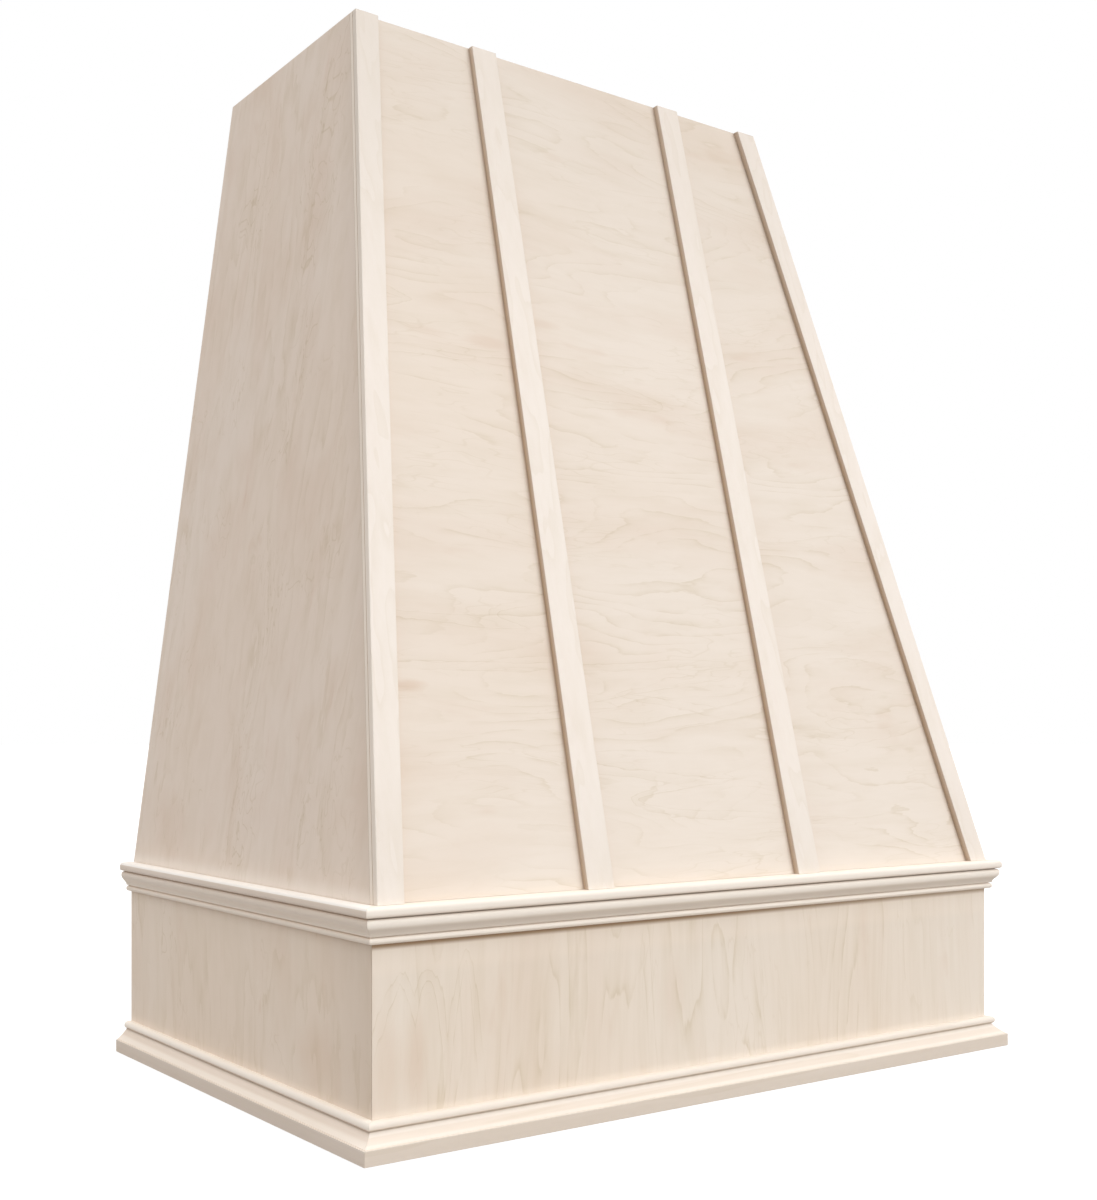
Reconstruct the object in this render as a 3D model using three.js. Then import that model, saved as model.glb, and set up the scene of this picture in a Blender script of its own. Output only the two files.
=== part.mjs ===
// A wall-hung wooden range hood cover: a body that tapers to the front and to both sides, four flat
// straps on its face, a square apron below, and a moulding round the apron's head and foot.
// Millimetres, +Z up. The front looks along -Y, the wall is at +Y, and the foot stands on z = 0.
import * as THREE from "three";

// Outside sizes
const apronWidth = 914.4;
const apronDepth = 584.2;
const hoodHeight = 1219.2;
const ledgeTop = 236;
const bodyInset = 3.2;
const bodyFootWidth = apronWidth - 2 * bodyInset;
const bodyFootDepth = apronDepth - bodyInset;
const bodyTopWidth = 634;
const bodyTopDepth = 309;

// Sheet and board thicknesses
const facePly = 5.2;
const sidePly = 12.7;
const apronPly = 12.7;
const frameBoard = 19;

// Face straps
const cornerStrapWidth = 30.2;
const centreStrapWidth = 35.2;
const strapThickness = 7.9;
const leftStrapFootX = -182.8;
const leftStrapHeadX = -138;
const rightStrapFootX = 128.5;
const rightStrapHeadX = 157.6;

// Ledge moulding, round the head of the apron
const ledgeHeight = 36;
const ledgeReach = 15;
const ledgeNose = 10.2;
const ledgeNoseOver = 5.4;
const ledgeNoseUnder = 3.0;
const ledgeShoulder = 4.2;
const ledgeBead = 6.6;
const ledgeQuirk = 1;

// Base moulding, round the foot of the apron
const baseHeight = 36.3;
const baseReach = 20;
const baseFascia = 14.8;
const baseStep = 0.9;
const baseLip = 1.7;
const baseHollow = 1.2;
const baseBead = 9;

// Inner frame
const ledgeRailWidth = 64;
const linerRailWidth = 64;
const linerRecess = 10;
const backRailHeight = 89;
const hangingRailHeight = 120;
const topRailHeight = 64;
const cornerPost = 28;
const apronPost = 32;
const strapRib = 44;
const backStile = 44;

// Clearances
const glueLine = 0.2;
const mitreLine = 0.2;

const faceMaple = new THREE.MeshStandardMaterial({ color: 0xe8dbcd, roughness: 0.62, metalness: 0 });
const sideMaple = new THREE.MeshStandardMaterial({ color: 0xe4d5c5, roughness: 0.62, metalness: 0 });
const strapMaple = new THREE.MeshStandardMaterial({ color: 0xece2d6, roughness: 0.58, metalness: 0 });
const mouldingMaple = new THREE.MeshStandardMaterial({ color: 0xeaded0, roughness: 0.55, metalness: 0 });
const framePoplar = new THREE.MeshStandardMaterial({ color: 0xdccbb0, roughness: 0.75, metalness: 0 });

const hood = new THREE.Group();
hood.name = "range_hood_cover";

// Everything is laid out from the wall plane, y = 0, forwards along -Y. This group then brings the
// middle of the whole depth, base moulding included, to the origin.
const fromWall = new THREE.Group();
fromWall.position.y = (apronDepth + glueLine + baseReach) / 2;
hood.add(fromWall);

function addPiece(name, geometry, material) {
  const mesh = new THREE.Mesh(geometry, material);
  mesh.name = name;
  fromWall.add(mesh);
}

// The body's outside at a height: half its width, and the distance of its face from the wall.
function taper(z) {
  return (z - ledgeTop) / (hoodHeight - ledgeTop);
}

function halfWidthAt(z) {
  return THREE.MathUtils.lerp(bodyFootWidth, bodyTopWidth, taper(z)) / 2;
}

function faceDepthAt(z) {
  return THREE.MathUtils.lerp(bodyFootDepth, bodyTopDepth, taper(z));
}

// A board whose section is a rectangle at every height. The spans give [low, high] at a height.
function board(zLow, zHigh, xSpan, ySpan) {
  const box = new THREE.BoxGeometry(1, 1, 1);
  const corners = box.getAttribute("position");
  for (let i = 0; i < corners.count; i++) {
    const z = corners.getZ(i) > 0 ? zHigh : zLow;
    const x = xSpan(z)[corners.getX(i) > 0 ? 1 : 0];
    const y = ySpan(z)[corners.getY(i) > 0 ? 1 : 0];
    corners.setXYZ(i, x, y, z);
  }
  box.computeVertexNormals();
  return box;
}

// A plain upright or level board between fixed limits.
function straightBoard(zLow, zHigh, xLow, xHigh, yLow, yHigh) {
  return board(
    zLow,
    zHigh,
    () => [xLow, xHigh],
    () => [yLow, yHigh],
  );
}

// An upright board with the given outline in plan.
function planBoard(zLow, zHigh, outline) {
  const shape = new THREE.Shape(outline.map(([x, y]) => new THREE.Vector2(x, y)));
  const solid = new THREE.ExtrudeGeometry(shape, { depth: zHigh - zLow, bevelEnabled: false });
  return solid.translate(0, 0, zLow);
}

// --- Tapered body ---------------------------------------------------------------------------

const bodyFoot = ledgeTop + glueLine;
const faceBack = (z) => -faceDepthAt(z) + facePly;
const sideInside = (z) => halfWidthAt(z) - sidePly;

function addFacePanel() {
  const panel = board(
    bodyFoot,
    hoodHeight,
    (z) => [-halfWidthAt(z), halfWidthAt(z)],
    (z) => [-faceDepthAt(z), faceBack(z)],
  );
  addPiece("front_panel", panel, faceMaple);
}

// Places a span that is measured outwards from the middle on the left (-1) or on the right (1).
function onSide(side, inner, outer) {
  return side < 0 ? [-outer, -inner] : [inner, outer];
}

function addSidePanel(name, side) {
  const panel = board(
    bodyFoot,
    hoodHeight,
    (z) => onSide(side, sideInside(z), halfWidthAt(z)),
    (z) => [faceBack(z) + glueLine, 0],
  );
  addPiece(name, panel, sideMaple);
}

// A strap lies on the face and stands on the ledge. middleAt gives its middle at a height.
function addStrap(name, width, middleAt) {
  const strap = board(
    bodyFoot,
    hoodHeight,
    (z) => [middleAt(z) - width / 2, middleAt(z) + width / 2],
    (z) => [-faceDepthAt(z) - glueLine - strapThickness, -faceDepthAt(z) - glueLine],
  );
  addPiece(name, strap, strapMaple);
}

const cornerStrapX = (z) => halfWidthAt(z) - cornerStrapWidth / 2;
const leftStrapX = (z) => THREE.MathUtils.lerp(leftStrapFootX, leftStrapHeadX, taper(z));
const rightStrapX = (z) => THREE.MathUtils.lerp(rightStrapFootX, rightStrapHeadX, taper(z));

addFacePanel();
addSidePanel("left_side_panel", -1);
addSidePanel("right_side_panel", 1);
addStrap("left_corner_strap", cornerStrapWidth, (z) => -cornerStrapX(z));
addStrap("left_centre_strap", centreStrapWidth, leftStrapX);
addStrap("right_centre_strap", centreStrapWidth, rightStrapX);
addStrap("right_corner_strap", cornerStrapWidth, cornerStrapX);

// --- Apron ------------------------------------------------------------------------------------

const apronTop = ledgeTop - frameBoard - glueLine;
const apronSide = apronWidth / 2;
const mitreHalf = mitreLine / 2;

function addFrontApron() {
  const outline = [
    [-apronSide + mitreHalf, -apronDepth],
    [apronSide - mitreHalf, -apronDepth],
    [apronSide - apronPly - mitreHalf, -apronDepth + apronPly],
    [-apronSide + apronPly + mitreHalf, -apronDepth + apronPly],
  ];
  addPiece("front_apron", planBoard(0, apronTop, outline), faceMaple);
}

function addSideApron(name, side) {
  const outline = [
    [side * apronSide, -apronDepth + mitreHalf],
    [side * apronSide, 0],
    [side * (apronSide - apronPly), 0],
    [side * (apronSide - apronPly), -apronDepth + apronPly + mitreHalf],
  ];
  addPiece(name, planBoard(0, apronTop, outline), sideMaple);
}

addFrontApron();
addSideApron("left_apron", -1);
addSideApron("right_apron", 1);

// --- Mouldings --------------------------------------------------------------------------------
// A profile is drawn with x as the reach from the apron's face and y as the height from its foot.

// From the foot up: a bead, a quirk, an ogee that hollows and then swells to a round shoulder,
// another quirk, and a nose with a small round below, an upright face and a wide round above.
function ledgeProfile() {
  const beadRadius = ledgeBead / 2;
  const waist = ledgeReach * 0.42;
  const swell = ledgeReach * 0.87;
  const ogeeFoot = ledgeBead + ledgeQuirk;
  const ogeeHead = ledgeHeight - ledgeNose - ledgeQuirk;
  const ogeeHollow = THREE.MathUtils.lerp(ogeeFoot, ogeeHead, 0.28);
  const ogeeSwell = THREE.MathUtils.lerp(ogeeFoot, ogeeHead, 0.40);
  const noseFoot = ledgeHeight - ledgeNose;
  const halfTurn = Math.PI / 2;
  const shape = new THREE.Shape();
  shape.moveTo(0, 0);
  shape.lineTo(beadRadius, 0);
  shape.absarc(beadRadius, beadRadius, beadRadius, -halfTurn, halfTurn, false);
  shape.lineTo(beadRadius, ogeeFoot);
  shape.lineTo(waist, ogeeFoot);
  shape.bezierCurveTo(waist, ogeeHollow, swell, ogeeSwell, swell, ogeeHead - ledgeShoulder);
  shape.quadraticCurveTo(swell, ogeeHead, swell - ledgeShoulder, ogeeHead);
  shape.lineTo(swell - ledgeShoulder, noseFoot);
  shape.lineTo(ledgeReach - ledgeNoseUnder, noseFoot);
  shape.quadraticCurveTo(ledgeReach, noseFoot, ledgeReach, noseFoot + ledgeNoseUnder);
  shape.lineTo(ledgeReach, ledgeHeight - ledgeNoseOver);
  shape.quadraticCurveTo(ledgeReach, ledgeHeight, ledgeReach - ledgeNoseOver, ledgeHeight);
  shape.lineTo(0, ledgeHeight);
  return shape;
}

// From the foot up: an upright fascia, a narrow lip, a slope that hollows slightly, and a
// half-round bead.
function baseProfile() {
  const beadRadius = baseBead / 2;
  const beadFoot = baseHeight - baseBead;
  const waist = baseReach * 0.3;
  const slopeReach = baseReach - baseLip;
  const slopeFoot = baseFascia + baseStep;
  const pullReach = (slopeReach + waist) / 2 - baseHollow;
  const pullHeight = (slopeFoot + beadFoot) / 2 - baseHollow;
  const halfTurn = Math.PI / 2;
  const shape = new THREE.Shape();
  shape.moveTo(0, 0);
  shape.lineTo(baseReach, 0);
  shape.lineTo(baseReach, baseFascia);
  shape.lineTo(slopeReach, baseFascia);
  shape.lineTo(slopeReach, slopeFoot);
  shape.quadraticCurveTo(pullReach, pullHeight, waist, beadFoot);
  shape.lineTo(beadRadius, beadFoot);
  shape.absarc(beadRadius, baseHeight - beadRadius, beadRadius, -halfTurn, halfTurn, false);
  shape.lineTo(0, baseHeight);
  return shape;
}

// Sweeps a profile along one side of the apron. place gives a point's [x, y] from its reach and
// its end, 0 or 1, and cuts the mitre by it.
function moulding(profile, zFoot, place) {
  const bar = new THREE.ExtrudeGeometry(profile, {
    depth: 1,
    bevelEnabled: false,
    curveSegments: 8,
  });
  const points = bar.getAttribute("position");
  for (let i = 0; i < points.count; i++) {
    const [x, y] = place(points.getX(i) + glueLine, points.getZ(i));
    points.setXYZ(i, x, y, zFoot + points.getY(i));
  }
  bar.computeVertexNormals();
  return bar;
}

// The front length is mitred at both ends, and each side length at its front end only.
function frontPlace(reach, end) {
  const half = apronSide + reach - mitreHalf;
  return [end > 0.5 ? -half : half, -apronDepth - reach];
}

function leftPlace(reach, end) {
  return [-apronSide - reach, end > 0.5 ? 0 : -apronDepth - reach + mitreHalf];
}

function rightPlace(reach, end) {
  return [apronSide + reach, end > 0.5 ? -apronDepth - reach + mitreHalf : 0];
}

function addMouldings(kind, profile, zFoot) {
  addPiece("front_" + kind, moulding(profile, zFoot, frontPlace), mouldingMaple);
  addPiece("left_" + kind, moulding(profile, zFoot, leftPlace), mouldingMaple);
  addPiece("right_" + kind, moulding(profile, zFoot, rightPlace), mouldingMaple);
}

addMouldings("ledge_moulding", ledgeProfile(), ledgeTop - ledgeHeight);
addMouldings("base_moulding", baseProfile(), 0);

// --- Inner frame ------------------------------------------------------------------------------

// A level frame of four rails: two run the full depth, and two fit between them.
function addLevelFrame(name, zLow, halfOutside, frontY, railWidth) {
  const zHigh = zLow + frameBoard;
  const inside = halfOutside - railWidth;
  const between = inside - glueLine;
  const left = straightBoard(zLow, zHigh, -halfOutside, -inside, frontY, 0);
  const right = straightBoard(zLow, zHigh, inside, halfOutside, frontY, 0);
  const front = straightBoard(zLow, zHigh, -between, between, frontY, frontY + railWidth);
  const back = straightBoard(zLow, zHigh, -between, between, -railWidth, 0);
  addPiece(name + "_left_rail", left, framePoplar);
  addPiece(name + "_right_rail", right, framePoplar);
  addPiece(name + "_front_rail", front, framePoplar);
  addPiece(name + "_back_rail", back, framePoplar);
}

const ledgeFrameFoot = ledgeTop - frameBoard;
const apronInside = apronSide - apronPly - glueLine;
const apronFrontInside = -apronDepth + apronPly + glueLine;
const linerFrameHead = linerRecess + frameBoard;

addLevelFrame("ledge_frame", ledgeFrameFoot, apronSide, -apronDepth, ledgeRailWidth);
addLevelFrame("liner_frame", linerRecess, apronInside, apronFrontInside, linerRailWidth);

// A post in each front corner of the apron, from the liner frame up to the ledge frame.
function addApronPost(name, side) {
  const [xLow, xHigh] = onSide(side, apronInside - apronPost, apronInside);
  const zLow = linerFrameHead + glueLine;
  const yHigh = apronFrontInside + apronPost;
  addPiece(name, straightBoard(zLow, apronTop, xLow, xHigh, apronFrontInside, yHigh), framePoplar);
}

// The lower back rail stands on the liner frame and is screwed to the wall.
function addLowerBackRail() {
  const zLow = linerFrameHead + glueLine;
  const rail = straightBoard(zLow, zLow + backRailHeight, -apronInside, apronInside, -frameBoard, 0);
  addPiece("lower_back_rail", rail, framePoplar);
}

// The hanging rail closes the back of the body at its top and carries the hood on the wall.
function addHangingRail() {
  const rail = board(
    hoodHeight - hangingRailHeight,
    hoodHeight,
    (z) => [-sideInside(z) + glueLine, sideInside(z) - glueLine],
    () => [-frameBoard, 0],
  );
  addPiece("hanging_rail", rail, framePoplar);
}

// The front top rail stiffens the head of the face between the side panels.
function addFrontTopRail() {
  const rail = board(
    hoodHeight - topRailHeight,
    hoodHeight,
    (z) => [-sideInside(z) + glueLine, sideInside(z) - glueLine],
    (z) => [faceBack(z) + glueLine, faceBack(z) + glueLine + frameBoard],
  );
  addPiece("top_front_rail", rail, framePoplar);
}

// A side top rail runs from the front top rail back to the hanging rail.
function addSideTopRail(name, side) {
  const outer = (z) => sideInside(z) - glueLine;
  const rail = board(
    hoodHeight - topRailHeight,
    hoodHeight,
    (z) => onSide(side, outer(z) - frameBoard, outer(z)),
    (z) => [faceBack(z) + frameBoard + 2 * glueLine, -frameBoard - glueLine],
  );
  addPiece(name, rail, framePoplar);
}

// A post up each front corner of the body joins the face to the side.
function addCornerPost(name, side) {
  const outer = (z) => sideInside(z) - glueLine;
  const post = board(
    bodyFoot,
    hoodHeight - topRailHeight - glueLine,
    (z) => onSide(side, outer(z) - cornerPost, outer(z)),
    (z) => [faceBack(z) + glueLine, faceBack(z) + glueLine + cornerPost],
  );
  addPiece(name, post, framePoplar);
}

// A stile up each back edge keeps the side straight against the wall.
function addBackStile(name, side) {
  const outer = (z) => sideInside(z) - glueLine;
  const stile = board(
    bodyFoot,
    hoodHeight - hangingRailHeight - glueLine,
    (z) => onSide(side, outer(z) - backStile, outer(z)),
    () => [-frameBoard, 0],
  );
  addPiece(name, stile, framePoplar);
}

// A rib behind each centre strap takes its nails through the thin face.
function addStrapRib(name, middleAt) {
  const rib = board(
    bodyFoot,
    hoodHeight - topRailHeight - glueLine,
    (z) => [middleAt(z) - strapRib / 2, middleAt(z) + strapRib / 2],
    (z) => [faceBack(z) + glueLine, faceBack(z) + glueLine + frameBoard],
  );
  addPiece(name, rib, framePoplar);
}

addApronPost("left_apron_post", -1);
addApronPost("right_apron_post", 1);
addLowerBackRail();
addHangingRail();
addFrontTopRail();
addSideTopRail("top_left_rail", -1);
addSideTopRail("top_right_rail", 1);
addCornerPost("left_corner_post", -1);
addCornerPost("right_corner_post", 1);
addBackStile("left_back_stile", -1);
addBackStile("right_back_stile", 1);
addStrapRib("left_strap_rib", leftStrapX);
addStrapRib("right_strap_rib", rightStrapX);

export default hood;
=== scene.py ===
import math
import bpy
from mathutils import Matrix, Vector


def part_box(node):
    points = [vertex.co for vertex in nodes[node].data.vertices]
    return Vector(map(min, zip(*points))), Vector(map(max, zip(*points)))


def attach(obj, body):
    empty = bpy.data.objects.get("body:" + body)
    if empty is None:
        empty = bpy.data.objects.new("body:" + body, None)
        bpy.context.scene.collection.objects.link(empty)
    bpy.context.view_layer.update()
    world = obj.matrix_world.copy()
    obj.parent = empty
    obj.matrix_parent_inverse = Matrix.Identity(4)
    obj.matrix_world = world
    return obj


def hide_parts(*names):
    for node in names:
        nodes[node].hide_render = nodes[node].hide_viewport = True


# An unfinished maple range hood cover. Metres, +Z up, the front looks along -Y, the wall is at +Y.
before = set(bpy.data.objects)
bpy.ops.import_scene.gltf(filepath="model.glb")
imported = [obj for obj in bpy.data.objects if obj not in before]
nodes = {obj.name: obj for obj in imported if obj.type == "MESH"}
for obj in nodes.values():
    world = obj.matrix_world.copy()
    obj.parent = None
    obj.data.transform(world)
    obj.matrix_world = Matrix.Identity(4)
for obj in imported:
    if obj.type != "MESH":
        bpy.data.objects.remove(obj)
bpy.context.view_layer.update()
print("frame loaded:", len(nodes), "wooden pieces")


# one output of a node: maths on it adds Math nodes, so a finish reads as plain expressions
class Wire:
    def __init__(self, wiring, socket):
        self.wiring = wiring
        self.socket = socket

    def maths(self, operation, first, second=0.0):
        return self.wiring.add("ShaderNodeMath", {"operation": operation}, {0: first, 1: second})

    def __add__(self, other):
        return self.maths("ADD", self, other)

    def __radd__(self, other):
        return self.maths("ADD", other, self)

    def __sub__(self, other):
        return self.maths("SUBTRACT", self, other)

    def __rsub__(self, other):
        return self.maths("SUBTRACT", other, self)

    def __mul__(self, other):
        return self.maths("MULTIPLY", self, other)

    def __rmul__(self, other):
        return self.maths("MULTIPLY", other, self)

    def __truediv__(self, other):
        return self.maths("DIVIDE", self, other)

    def __rtruediv__(self, other):
        return self.maths("DIVIDE", other, self)

    def __pow__(self, other):
        return self.maths("POWER", self, other)

    def fract(self):
        return self.maths("FRACT", self)

    def size(self):
        return self.maths("ABSOLUTE", self)

    def atMost(self, other):
        return self.maths("MINIMUM", self, other)

    def atLeast(self, other):
        return self.maths("MAXIMUM", self, other)

    def mixTo(self, other, part):
        return self * (1.0 - part) + other * part


# a node tree that the code wires up
class Wiring:
    def __init__(self, tree):
        self.tree = tree

    # settings come first, then a value, a link or a list of links for each socket
    def add(self, kind, settings=None, sockets=None, output=0):
        node = self.tree.nodes.new(kind)
        for key, value in (settings or {}).items():
            setattr(node, key, value)
        for key, value in (sockets or {}).items():
            for item in (value if isinstance(value, list) else [value]):
                if isinstance(item, Wire):
                    self.tree.links.new(item.socket, node.inputs[key])
                else:
                    node.inputs[key].default_value = item
        return Wire(self, node.outputs[output]) if node.outputs else None

    def split(self, vector):
        x = self.add("ShaderNodeSeparateXYZ", sockets={0: vector})
        y = Wire(self, x.socket.node.outputs[1])
        z = Wire(self, x.socket.node.outputs[2])
        return x, y, z

    def join(self, x, y, z=0.0):
        return self.add("ShaderNodeCombineXYZ", sockets={0: x, 1: y, 2: z})


# a new material, with the nodes that every wood needs
class Finish(Wiring):
    def __init__(self, name):
        self.material = bpy.data.materials.new(name)
        self.material.use_nodes = True
        super().__init__(self.material.node_tree)
        self.tree.nodes.clear()

    def place(self):
        return self.split(self.add("ShaderNodeTexCoord", output="Object"))

    def facing(self):
        return self.split(self.add("ShaderNodeTexCoord", output="Normal"))

    def noise(self, x, y, z, detail=2.0, roughness=0.5):
        return self.add("ShaderNodeTexNoise", {"noise_dimensions": "3D"}, {
            "Vector": self.join(x, y, z), "Scale": 1.0, "Detail": detail, "Roughness": roughness})

    def ease(self, value, low, high, atLow=0.0, atHigh=1.0):
        return self.add("ShaderNodeMapRange", {"interpolation_type": "SMOOTHSTEP"}, {
            "Value": value, "From Min": low, "From Max": high, "To Min": atLow, "To Max": atHigh})

    def blend(self, factor, first, second):
        return self.add("ShaderNodeMix", {"data_type": "RGBA"}, {0: factor, 6: first, 7: second}, output=2)

    def wood(self, colour, roughness, height, bumpDepth):
        bump = self.add("ShaderNodeBump", {}, {"Strength": 1.0, "Distance": bumpDepth, "Height": height})
        shader = self.add("ShaderNodeBsdfPrincipled", {}, {
            "Base Color": colour, "Roughness": roughness, "Normal": bump, "IOR": 1.45,
            "Specular IOR Level": 0.25})
        self.add("ShaderNodeOutputMaterial", {}, {0: shader})
        return self.material


def rgb(red, green, blue):
    return (red, green, blue, 1.0)


# a shaping tree with named inputs, and a wire from each of them
def shapingTree(name, inputs):
    tree = bpy.data.node_groups.new(name, "GeometryNodeTree")
    for label, kind in inputs:
        tree.interface.new_socket(label, in_out="INPUT", socket_type="NodeSocket" + kind)
    tree.interface.new_socket("Wooden piece", in_out="OUTPUT", socket_type="NodeSocketGeometry")
    wiring = Wiring(tree)
    given = tree.nodes.new("NodeGroupInput")
    values = {label: Wire(wiring, given.outputs[label]) for label, kind in inputs}
    return wiring, values


# the piece leaves its tree as one real mesh in its wood
def closeTree(wiring, geometry, wood):
    single = wiring.add("GeometryNodeRealizeInstances", {}, {0: geometry})
    coated = wiring.add("GeometryNodeSetMaterial", {}, {"Geometry": single, "Material": wood})
    wiring.add("NodeGroupOutput", {}, {0: coated})
    return wiring.tree


# a board with a rectangle at its foot and another at its head
def boardTree():
    wiring, given = shapingTree("sloping board", [
        ("Foot From", "Vector"), ("Foot To", "Vector"), ("Head From", "Vector"), ("Head To", "Vector"),
        ("Wood", "Material")])
    block = wiring.add("GeometryNodeMeshCube", {}, {"Size": (1, 1, 1)})
    across, through, up = wiring.split(wiring.add("GeometryNodeInputPosition"))
    footFrom, footTo = wiring.split(given["Foot From"]), wiring.split(given["Foot To"])
    headFrom, headTo = wiring.split(given["Head From"]), wiring.split(given["Head To"])
    up = up + 0.5
    placed = []
    for axis, part in ((0, across + 0.5), (1, through + 0.5)):
        atFoot = footFrom[axis].mixTo(footTo[axis], part)
        atHead = headFrom[axis].mixTo(headTo[axis], part)
        placed.append(atFoot.mixTo(atHead, up))
    height = footFrom[2].mixTo(headFrom[2], up)
    shaped = wiring.add("GeometryNodeSetPosition", {}, {
        "Geometry": block, "Position": wiring.join(placed[0], placed[1], height)})
    return closeTree(wiring, shaped, given["Wood"])


mergeWithin = 0.000001


# a profile swept along one side of the apron, its ends cut to the mitre
def mouldingTree():
    wiring, given = shapingTree("mitred moulding", [
        ("Profile", "Geometry"), ("Start", "Vector"), ("Along", "Vector"), ("Outward", "Vector"),
        ("Length", "Float"), ("Start Mitre", "Float"), ("End Mitre", "Float"), ("Foot Height", "Float"),
        ("Wood", "Material")])
    section = wiring.add("GeometryNodeFillCurve", {"mode": "NGONS"}, {0: given["Profile"]})
    swept = wiring.add("GeometryNodeExtrudeMesh", {}, {
        "Mesh": section, "Offset": wiring.join(0.0, 0.0, 1.0), "Offset Scale": 1.0, "Individual": False})
    otherEnd = wiring.add("GeometryNodeFlipFaces", {}, {"Mesh": section})
    joined = wiring.add("GeometryNodeJoinGeometry", {}, {0: [swept, otherEnd]})
    closed = wiring.add("GeometryNodeMergeByDistance", {}, {"Geometry": joined, "Distance": mergeWithin})
    reach, height, end = wiring.split(wiring.add("GeometryNodeInputPosition"))
    startCut = given["Start Mitre"] * reach
    travel = end * (given["Length"] + startCut + given["End Mitre"] * reach) - startCut
    start, along, outward = [wiring.split(given[k]) for k in ("Start", "Along", "Outward")]
    x, y, z = [start[k] + along[k] * travel + outward[k] * reach for k in range(3)]
    shaped = wiring.add("GeometryNodeSetPosition", {}, {
        "Geometry": closed, "Position": wiring.join(x, y, z + height + given["Foot Height"])})
    return closeTree(wiring, shaped, given["Wood"])


slopingBoard = boardTree()
mitredMoulding = mouldingTree()


# a piece from a tree and the values of its inputs, swept from a profile where it has one
def shapePiece(name, tree, values, profile=None):
    if profile is None:
        source = bpy.data.objects.new(name, bpy.data.meshes.new(name))
    else:
        curve = bpy.data.curves.new(name, "CURVE")
        curve.dimensions = "2D"
        curve.fill_mode = "NONE"
        spline = curve.splines.new("POLY")
        spline.points.add(len(profile) - 1)
        for point, (reach, height) in zip(spline.points, profile):
            point.co = (reach, height, 0.0, 1.0)
        spline.use_cyclic_u = True
        source = bpy.data.objects.new(name, curve)
    bpy.context.scene.collection.objects.link(source)
    modifier = source.modifiers.new("shape", "NODES")
    modifier.node_group = tree
    for item in tree.interface.items_tree:
        if item.in_out == "INPUT" and item.name in values:
            modifier[item.identifier] = values[item.name]
    bpy.context.view_layer.update()
    mesh = bpy.data.meshes.new_from_object(source.evaluated_get(bpy.context.evaluated_depsgraph_get()))
    bpy.data.objects.remove(source)
    mesh.name = name
    piece = bpy.data.objects.new(name, mesh)
    bpy.context.scene.collection.objects.link(piece)
    return piece


# the piece takes the place of a node of the frame
def standFor(piece, node):
    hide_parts(node)
    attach(piece, "root")


# each layer of noise: where it starts, so that no two share a pattern, its detail and its roughness
layers = {"drift": (1.3, 1.0, 0.5), "wobble": (3.1, 3.0, 0.6), "patch": (7.7, 2.0, 0.5),
          "dash": (9.2, 2.0, 0.55), "cloud": (11.0, 4.0, 0.55), "fibre": (17.0, 2.0, 0.6),
          "streak": (23.0, 4.0, 0.62), "tick": (29.0, 1.0, 0.5), "flock": (33.0, 2.0, 0.6),
          "smudge": (37.0, 3.0, 0.6), "tint": (41.0, 2.0, 0.5)}


# one layer, at the look's own scales along and across the grain
def layer(finish, name, along, across, depth, look):
    start, detail, roughness = layers[name]
    scale = look[name + "Across"]
    return finish.noise(along * look[name + "Along"], across * scale, depth * scale + look["seed"] + start,
                        detail, roughness)


ringShape = {"lineDrop": 0.94, "slopeDrop": 0.9, "slopePower": 1.6, "patchFrom": 0.36, "patchTo": 0.62,
             "dashFrom": 0.36, "dashTo": 0.58, "dashLeast": 0.2}


# growth rings cut flat by the lathe: each ring darkens slowly, then ends in a thin line that the
# blade leaves broken here and there, and the fibres between them bend the same way
def ringFigure(finish, along, across, look):
    drift = layer(finish, "drift", along, across, 0.0, look)
    across = across + (drift - 0.5) * look["drift"]
    hills = finish.noise(along * look["alongScale"], across * look["acrossScale"], look["seed"],
                         roughness=look["hillRough"])
    wobble = layer(finish, "wobble", along, across, 0.0, look)
    phase = (hills * look["rings"] + wobble * look["wobble"]).fract()
    line = (phase ** look["sharpness"]) * finish.ease(phase, ringShape["lineDrop"], 1.0, 1.0, 0.0)
    patch = layer(finish, "patch", along, across, 0.0, look)
    patch = finish.ease(patch, ringShape["patchFrom"], ringShape["patchTo"], look["faintest"], 1.0)
    dash = layer(finish, "dash", along, across, 0.0, look)
    dashed = finish.ease(dash, ringShape["dashFrom"], ringShape["dashTo"], ringShape["dashLeast"], 1.0)
    broken = patch * dashed
    slope = (phase ** ringShape["slopePower"]) * finish.ease(phase, ringShape["slopeDrop"], 1.0, 1.0, 0.0)
    tone = line * broken * look["lineTone"] + slope * broken * look["slopeTone"]
    if look["arches"]:
        dashed = finish.ease(dash, archShape["dashFrom"], archShape["dashTo"], archShape["dashLeast"], 1.0)
        tone = tone + archFigure(finish, along, across, wobble, look) * dashed
    return tone, across + (hills - 0.5) * look["bend"]


archShape = {"wobble": 0.018, "step": 0.011, "lineWidth": 0.20, "lineTone": 0.8, "tailTone": 0.2,
             "rimWidth": 0.08, "fadeFrom": 0.9, "fadeTo": 2.4, "lengthFrom": 0.8, "lengthTo": 1.7,
             "widthFrom": 1.4, "widthTo": 2.2, "dashFrom": 0.34, "dashTo": 0.56, "dashLeast": 0.25}


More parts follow.
